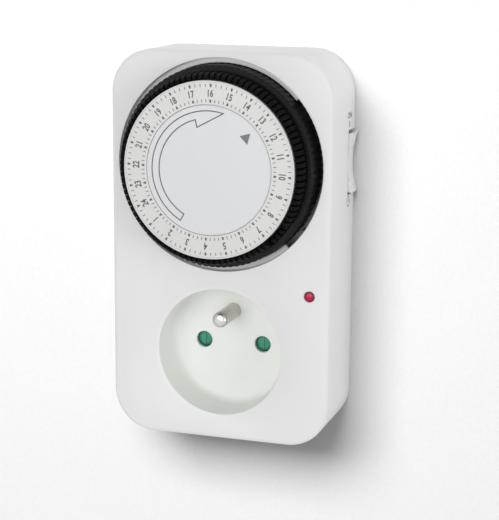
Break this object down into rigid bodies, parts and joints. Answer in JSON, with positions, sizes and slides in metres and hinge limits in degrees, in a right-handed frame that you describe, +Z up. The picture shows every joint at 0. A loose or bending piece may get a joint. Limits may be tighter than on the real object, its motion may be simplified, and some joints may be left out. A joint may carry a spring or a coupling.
{
  "type": "mechanical timer socket",
  "caption": "Plug-in timer socket: a 24 hour dial with push-in segments turns in front of a geared motor and switches the earthed outlet below it; a side rocker overrides it.",
  "frame": {"origin": "midpoint between the two plug pins, on the flat end of the plug boss", "axes": "+X to the right seen from the front, +Y from the front face into the wall, along the plug pins, +Z up"},
  "size_m": [0.0697, 0.0721, 0.1175],
  "materials": {
    "case_white": "fine satin white",
    "case_white_rear": "fine satin white",
    "rocker_white": "smooth white",
    "steel": "zinc plated",
    "nickel": "nickel plated",
    "clip_steel": "bare spring strip",
    "brass": "bare strip",
    "inner_plastic": "natural",
    "shutter_green": "green",
    "spring_steel": "drawn wire",
    "lens_red": "clear red",
    "lamp_glass": "clear",
    "resistor_body": "lacquered",
    "dial_black": "satin black",
    "tappet_black": "satin black",
    "scale_white": "printed white",
    "hub_face": "printed white",
    "gear_plastic": "natural",
    "copper": "enamelled copper wire",
    "magnet_grey": "ferrite",
    "switch_black": "black",
    "plunger_red": "red"
  },
  "bodies": {
    "case_body": {"chassis_plate": "inner_plastic", "contact_carrier": "inner_plastic", "earth_clip_lower": "clip_steel", "earth_clip_upper": "clip_steel", "earth_strap": "brass", "front_housing": "case_white", "gear_arbor": "steel", "housing_screws": "steel", "hub_disc": "hub_face", "hub_post": "inner_plastic", "indicator_lens": "lens_red", "lever_pin": "steel", "lever_spring": "spring_steel", "live_strip": "brass", "microswitch_case": "switch_black", "microswitch_contact": "brass", "microswitch_cover": "switch_black", "microswitch_terminal": "brass", "motor_bobbin": "inner_plastic", "motor_can": "steel", "motor_end_plate": "steel", "motor_screws": "steel", "motor_winding": "copper", "neon_lamp": "lamp_glass", "neon_resistor": "resistor_body", "neutral_strip": "brass", "outlet_contact_live": "brass", "outlet_contact_neutral": "brass", "outlet_earth_pin": "nickel", "plug_earth_socket": "nickel", "plug_pin_live": "nickel", "plug_pin_neutral": "nickel", "rear_housing": "case_white_rear", "shutter_retainer": "inner_plastic", "shutter_spring": "spring_steel", "switched_strip": "brass"},
    "drum_body": {"drum": "dial_black", "scale_ring": "scale_white", "drum_gear": "gear_plastic", "clutch_washer": "spring_steel"},
    "compound_body": {"compound_gear": "gear_plastic"},
    "pinion_body": {"motor_pinion": "gear_plastic"},
    "rotor_body": {"motor_rotor": "magnet_grey"},
    "shutter_body": {"shutter": "shutter_green"},
    "lever_body": {"trip_lever": "gear_plastic"},
    "plunger_body": {"microswitch_plunger": "plunger_red"},
    "blade_body": {"microswitch_blade": "brass"},
    "rocker_body": {"rocker": "rocker_white"},
    "tappets_group_1_body": {"tappets_group_1": "tappet_black"},
    "tappets_group_2_body": {"tappets_group_2": "tappet_black"},
    "tappets_group_3_body": {"tappets_group_3": "tappet_black"},
    "tappets_group_4_body": {"tappets_group_4": "tappet_black"},
    "tappets_group_5_body": {"tappets_group_5": "tappet_black"},
    "tappets_group_6_body": {"tappets_group_6": "tappet_black"},
    "tappets_group_7_body": {"tappets_group_7": "tappet_black"},
    "tappets_group_8_body": {"tappets_group_8": "tappet_black"},
    "tappets_pushed_body": {"tappets_pushed": "tappet_black"}
  },
  "joints": [
    {"name": "dial_turn", "type": "hinge", "parent": "case_body", "child": "drum_body", "pos_m": [0, -0.043, 0.057], "axis": [0, 1, 0], "continuous": true},
    {"name": "compound_turn", "type": "hinge", "parent": "case_body", "child": "compound_body", "pos_m": [-0.01147, -0.034, 0.04062], "axis": [0, 1, 0], "continuous": true},
    {"name": "pinion_turn", "type": "hinge", "parent": "case_body", "child": "pinion_body", "pos_m": [0.00398, -0.032, 0.04476], "axis": [0, 1, 0], "continuous": true},
    {"name": "rotor_turn", "type": "hinge", "parent": "case_body", "child": "rotor_body", "pos_m": [0.00398, -0.025, 0.04476], "axis": [0, 1, 0], "continuous": true},
    {"name": "tappet_group_1_push", "type": "slide", "parent": "drum_body", "child": "tappets_group_1_body", "axis": [0, 1, 0], "range_m": [0, 0.0035]},
    {"name": "tappet_group_2_push", "type": "slide", "parent": "drum_body", "child": "tappets_group_2_body", "axis": [0, 1, 0], "range_m": [0, 0.0035]},
    {"name": "tappet_group_3_push", "type": "slide", "parent": "drum_body", "child": "tappets_group_3_body", "axis": [0, 1, 0], "range_m": [0, 0.0035]},
    {"name": "tappet_group_4_push", "type": "slide", "parent": "drum_body", "child": "tappets_group_4_body", "axis": [0, 1, 0], "range_m": [0, 0.0035]},
    {"name": "tappet_group_5_push", "type": "slide", "parent": "drum_body", "child": "tappets_group_5_body", "axis": [0, 1, 0], "range_m": [0, 0.0035]},
    {"name": "tappet_group_6_push", "type": "slide", "parent": "drum_body", "child": "tappets_group_6_body", "axis": [0, 1, 0], "range_m": [0, 0.0035]},
    {"name": "tappet_group_7_push", "type": "slide", "parent": "drum_body", "child": "tappets_group_7_body", "axis": [0, 1, 0], "range_m": [0, 0.0035]},
    {"name": "tappet_group_8_push", "type": "slide", "parent": "drum_body", "child": "tappets_group_8_body", "axis": [0, 1, 0], "range_m": [0, 0.0035]},
    {"name": "tappet_pushed_push", "type": "slide", "parent": "drum_body", "child": "tappets_pushed_body", "axis": [0, 1, 0], "range_m": [-0.0035, 0]},
    {"name": "shutter_slide", "type": "slide", "parent": "case_body", "child": "shutter_body", "axis": [1, 0, 0], "range_m": [0, 0.0056], "stiffness_N_per_m": 60, "springref_m": -0.002, "deforming": ["shutter_spring"]},
    {"name": "lever_tilt", "type": "hinge", "parent": "case_body", "child": "lever_body", "pos_m": [0.0272, -0.0324, 0.037], "axis": [-1, 0, 0], "range_deg": [0, 4.57], "stiffness_Nm_per_rad": 0.01, "springref_deg": -5.73},
    {"name": "plunger_slide", "type": "slide", "parent": "case_body", "child": "plunger_body", "axis": [0, 1, 0], "range_m": [0, 0.0005]},
    {"name": "blade_bend", "type": "hinge", "parent": "case_body", "child": "blade_body", "pos_m": [0.0272, -0.0257, 0.0503], "axis": [1, 0, 0], "range_deg": [0, 6.63]},
    {"name": "rocker_tilt", "type": "hinge", "parent": "case_body", "child": "rocker_body", "pos_m": [0.0309, -0.0238, 0.057], "axis": [0, 1, 0], "range_deg": [-7, 0]}
  ],
  "couplings": [
    {"joint": "compound_turn", "follows": "dial_turn", "ratio": -4},
    {"joint": "pinion_turn", "follows": "dial_turn", "ratio": 12},
    {"joint": "plunger_slide", "follows": "lever_tilt", "m_per_rad": 0.006268},
    {"joint": "blade_bend", "follows": "lever_tilt", "ratio": 1.4514}
  ]
}
